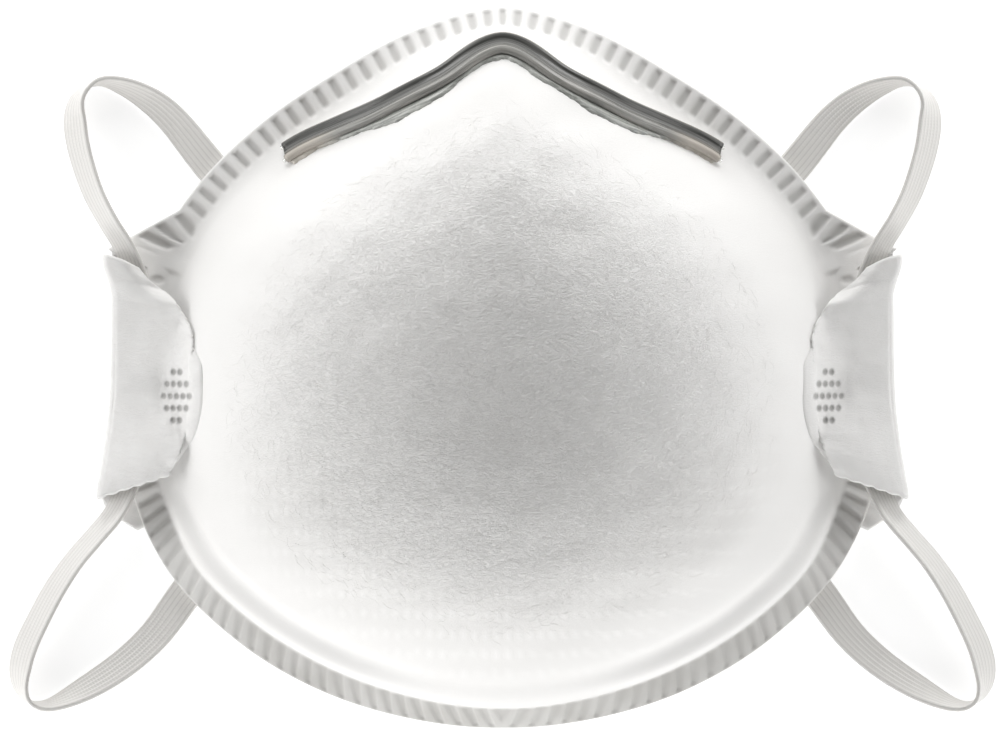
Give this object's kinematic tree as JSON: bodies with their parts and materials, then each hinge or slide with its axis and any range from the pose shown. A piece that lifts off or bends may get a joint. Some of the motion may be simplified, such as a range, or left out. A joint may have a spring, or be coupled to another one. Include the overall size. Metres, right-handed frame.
{
  "type": "disposable dust mask",
  "caption": "Moulded cup dust mask with a ribbed weld flange, twin-wire nose clip, inner nose foam, folded side tabs and a flat elastic strap that slides through them.",
  "frame": {"origin": "on the surface the mask lies on, under the middle of the cup", "axes": "+Z out of the front of the cup, +Y towards the nose, +X across the face; the tabs' undersides lie on Z = 0"},
  "size_m": [0.173, 0.1252, 0.05],
  "materials": {
    "outer_felt": "needle-punched white felt, matt and faintly hairy",
    "filter_web": "matt melt-blown web",
    "moulded_shell": "matt heat-moulded web",
    "soft_lining": "soft matt spunbond",
    "tab_web": "soft matt web with spot welds",
    "clip_plastic": "glossy grey extruded plastic",
    "clip_wire": "bright cut wire",
    "hot_melt": "translucent hot-melt glue",
    "tape_film": "thin adhesive film",
    "nose_foam": "soft open-cell foam",
    "elastic_knit": "ribbed knitted elastic, matt"
  },
  "bodies": {
    "mask": {"outer_cover": "outer_felt", "filter_media": "filter_web", "support_shell": "moulded_shell", "inner_lining": "soft_lining", "left_tab": "tab_web", "right_tab": "tab_web", "nose_clip_strip": "clip_plastic", "nose_wire_upper": "clip_wire", "nose_wire_lower": "clip_wire", "nose_clip_adhesive": "hot_melt", "nose_foam_tape": "tape_film", "nose_foam": "nose_foam"},
    "strap": {"elastic_strap": "elastic_knit"}
  },
  "joints": [
    {"name": "strap_slide", "type": "slide", "parent": "mask", "child": "strap", "axis": [0, 1, 0], "range_m": [-0.0025, 0.0025]}
  ]
}
